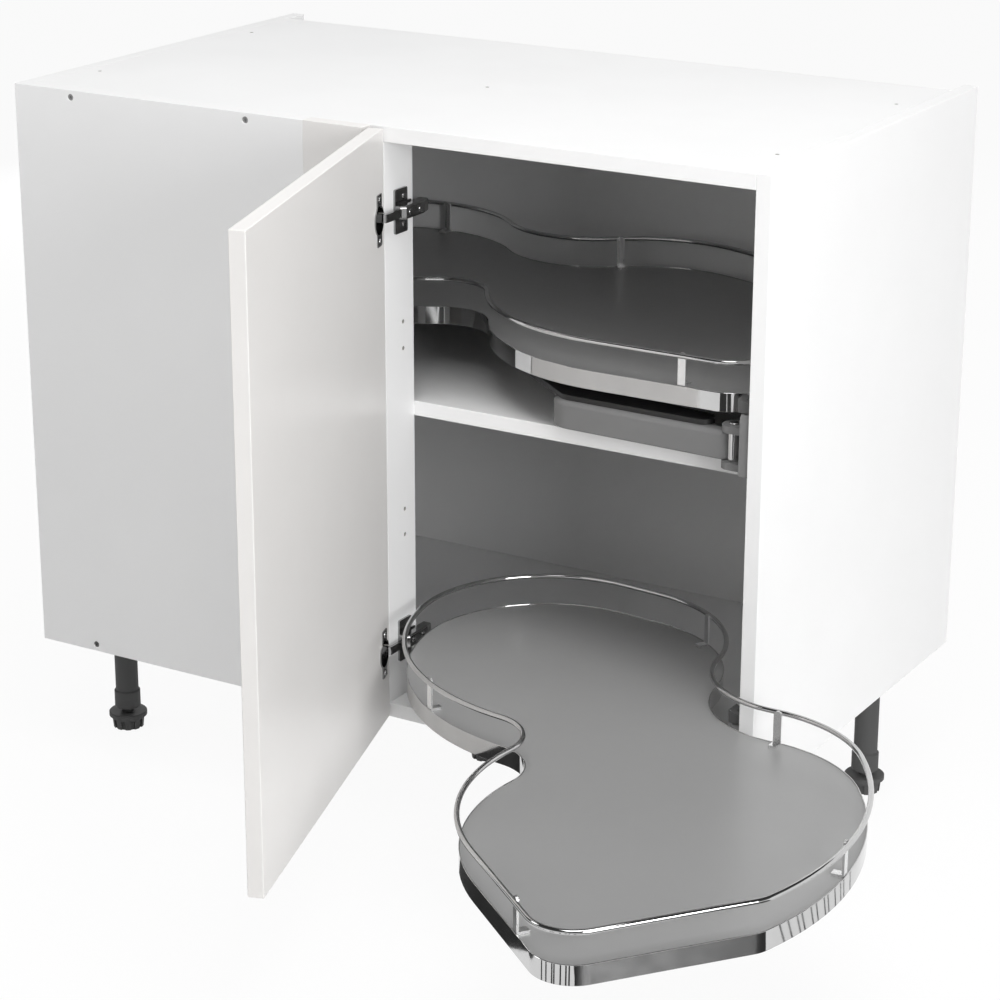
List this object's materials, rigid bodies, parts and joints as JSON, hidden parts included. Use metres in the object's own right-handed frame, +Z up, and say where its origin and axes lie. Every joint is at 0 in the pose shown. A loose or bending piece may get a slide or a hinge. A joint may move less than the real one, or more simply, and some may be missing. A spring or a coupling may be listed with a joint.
{
  "type": "blind corner base cabinet",
  "caption": "White blind corner kitchen base cabinet with a hinged grey door and kidney-shaped swing-out trays on arms, standing on adjustable legs.",
  "frame": {"origin": "on the floor, at the middle of the middle leg's sole", "axes": "+X to the right seen from the front, +Y to the wall, +Z up"},
  "size_m": [1.2505, 1.1722, 0.875],
  "materials": {
    "white_board": "white melamine-faced chipboard",
    "front_board": "satin light grey lacquered board",
    "leg_plastic": "matt dark grey",
    "hinge_nickel": "nickel plated",
    "grey_metal": "satin grey powder coat",
    "dark_metal": "satin black coat",
    "chrome": "polished chrome plate",
    "tray_laminate": "matt grey laminate with an anti-slip face",
    "stop_plastic": "matt dark grey",
    "screw_steel": "zinc plated"
  },
  "bodies": {
    "cabinet": {"left_side_panel": "white_board", "right_side_panel": "white_board", "top_panel": "white_board", "base_panel": "white_board", "back_panel": "white_board", "blind_panel": "white_board", "upright": "white_board", "shelf": "white_board", "filler_strip": "front_board", "shelf_pegs": "screw_steel", "blind_panel_screws": "screw_steel", "leg_sockets": "leg_plastic", "leg_tubes": "leg_plastic", "hinge_screws": "hinge_nickel", "upper_hinge_arm": "hinge_nickel", "upper_hinge_plate": "hinge_nickel", "upper_bracket": "grey_metal", "upper_bracket_screws": "screw_steel", "upper_pivot_pin": "chrome", "upper_tray_stop": "stop_plastic", "lower_hinge_arm": "hinge_nickel", "lower_hinge_plate": "hinge_nickel", "lower_bracket": "grey_metal", "lower_bracket_screws": "screw_steel", "lower_pivot_pin": "chrome", "lower_tray_stop": "stop_plastic"},
    "door": {"door_panel": "front_board", "cup_screws": "hinge_nickel", "upper_hinge_cup": "hinge_nickel", "upper_hinge_pin": "hinge_nickel", "lower_hinge_cup": "hinge_nickel", "lower_hinge_pin": "hinge_nickel"},
    "upper_arm": {"upper_arm_sleeve": "chrome", "upper_swing_arm": "grey_metal", "upper_carrier_plate": "dark_metal"},
    "upper_tray": {"upper_tray_flange": "dark_metal", "upper_tray_deck": "tray_laminate", "upper_tray_band": "chrome", "upper_tray_rail": "chrome", "upper_rail_stanchions": "chrome"},
    "lower_arm": {"lower_arm_sleeve": "chrome", "lower_swing_arm": "grey_metal", "lower_carrier_plate": "dark_metal"},
    "lower_tray": {"lower_tray_flange": "dark_metal", "lower_tray_deck": "tray_laminate", "lower_tray_band": "chrome", "lower_tray_rail": "chrome", "lower_rail_stanchions": "chrome"},
    "foot_front_left": {"foot_front_left": "leg_plastic"},
    "foot_front_right": {"foot_front_right": "leg_plastic"},
    "foot_rear_left": {"foot_rear_left": "leg_plastic"},
    "foot_rear_right": {"foot_rear_right": "leg_plastic"},
    "foot_middle": {"foot_middle": "leg_plastic"}
  },
  "joints": [
    {"name": "door_hinge", "type": "hinge", "parent": "cabinet", "child": "door", "pos_m": [0.012, -0.2687, 0.515], "axis": [0, 0, -1], "range_deg": [-15, 22.5]},
    {"name": "upper_arm_swing", "type": "hinge", "parent": "cabinet", "child": "upper_arm", "pos_m": [0.451, -0.226, 0.5629], "axis": [0, 0, 1], "range_deg": [0, 20]},
    {"name": "upper_tray_turn", "type": "hinge", "parent": "upper_arm", "child": "upper_tray", "pos_m": [0.127, -0.107, 0.593], "axis": [0, 0, 1], "range_deg": [-38, 0]},
    {"name": "lower_arm_swing", "type": "hinge", "parent": "cabinet", "child": "lower_arm", "pos_m": [0.451, -0.226, 0.1989], "axis": [0, 0, -1], "range_deg": [0, 34]},
    {"name": "lower_tray_turn", "type": "hinge", "parent": "lower_arm", "child": "lower_tray", "pos_m": [0.39541, -0.56666, 0.229], "axis": [0, 0, -1], "range_deg": [-3.4, 0]},
    {"name": "foot_front_left_screw", "type": "slide", "parent": "cabinet", "child": "foot_front_left", "axis": [0, 0, 1], "range_m": [-0.015, 0.005]},
    {"name": "foot_front_right_screw", "type": "slide", "parent": "cabinet", "child": "foot_front_right", "axis": [0, 0, 1], "range_m": [-0.015, 0.005]},
    {"name": "foot_rear_left_screw", "type": "slide", "parent": "cabinet", "child": "foot_rear_left", "axis": [0, 0, 1], "range_m": [-0.015, 0.005]},
    {"name": "foot_rear_right_screw", "type": "slide", "parent": "cabinet", "child": "foot_rear_right", "axis": [0, 0, 1], "range_m": [-0.015, 0.005]},
    {"name": "foot_middle_screw", "type": "slide", "parent": "cabinet", "child": "foot_middle", "axis": [0, 0, 1], "range_m": [-0.015, 0.005]}
  ],
  "couplings": [
    {"joint": "upper_tray_turn", "follows": "upper_arm_swing", "ratio": -1.9},
    {"joint": "lower_tray_turn", "follows": "lower_arm_swing", "ratio": -0.1}
  ]
}
